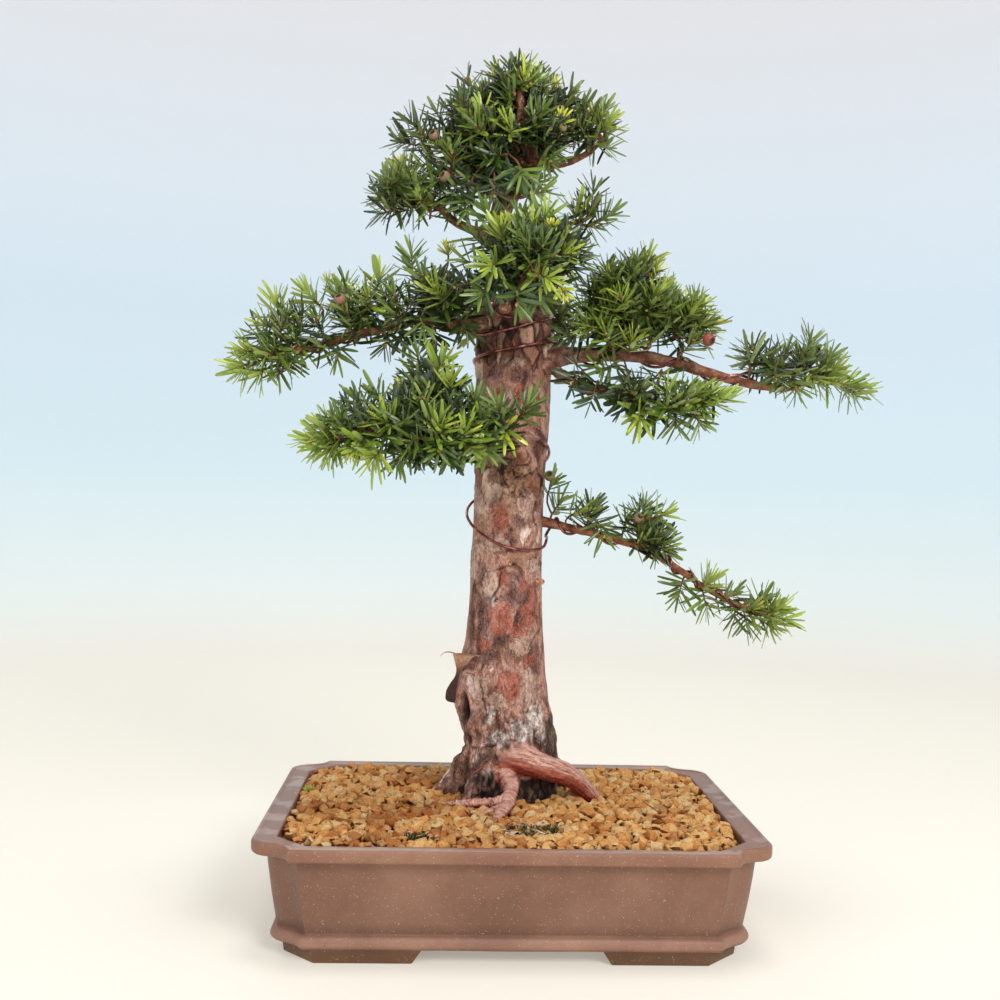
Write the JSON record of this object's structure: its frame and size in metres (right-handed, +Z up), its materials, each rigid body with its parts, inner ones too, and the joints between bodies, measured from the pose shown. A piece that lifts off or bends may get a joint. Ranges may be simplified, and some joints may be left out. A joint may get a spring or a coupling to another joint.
{
  "type": "japanese yew bonsai",
  "caption": "Japanese yew bonsai with a thick bare trunk, surface roots, wired branches and needle pads, in a rectangular unglazed pot with cut corners and granular soil.",
  "frame": {"origin": "on the ground under the middle of the whole object's box; the pot's centre is 28 mm to its left, at x = -0.028", "axes": "+Z up, +X to the right along the pot's long side, +Y away from the viewer of the tree's front"},
  "size_m": [0.5156, 0.285, 0.7006],
  "materials": {
    "fired_clay": "matte",
    "drain_mesh": "matte",
    "clip_wire": "satin",
    "akadama": "matte",
    "moss": "matte",
    "trunk_bark": "matte",
    "twig_bark": "matte",
    "needles": "satin",
    "training_wire": "satin"
  },
  "bodies": {
    "root": {"pot": "fired_clay", "drain_mesh_left": "drain_mesh", "drain_mesh_right": "drain_mesh", "mesh_clip_left": "clip_wire", "mesh_clip_right": "clip_wire", "soil_bed": "akadama", "moss_front": "moss", "moss_edge": "moss", "trunk": "trunk_bark", "branch_upper_left": "twig_bark", "branch_lower_left": "twig_bark", "branch_lower_left_side": "twig_bark", "branch_right": "twig_bark", "branch_right_lower": "twig_bark", "branch_low_right": "twig_bark", "branch_front": "twig_bark", "branch_back": "twig_bark", "crown_branch_left": "twig_bark", "crown_branch_right": "twig_bark", "crown_branch_upper_left": "twig_bark", "crown_branch_back": "twig_bark", "twig_small_right": "twig_bark", "foliage_upper_left_tip": "needles", "foliage_upper_left_middle": "needles", "foliage_upper_left_inner": "needles", "foliage_lower_left_tip": "needles", "foliage_lower_left": "needles", "foliage_right_upper": "needles", "foliage_right_lower": "needles", "foliage_right_tip": "needles", "foliage_low_right_inner": "needles", "foliage_low_right_middle": "needles", "foliage_low_right_tip": "needles", "foliage_front": "needles", "foliage_crown_left": "needles", "foliage_crown": "needles", "foliage_small_right": "needles", "foliage_back": "needles", "wire_right": "training_wire", "wire_upper_left": "training_wire", "wire_low": "training_wire", "wire_front": "training_wire"}
  },
  "joints": []
}
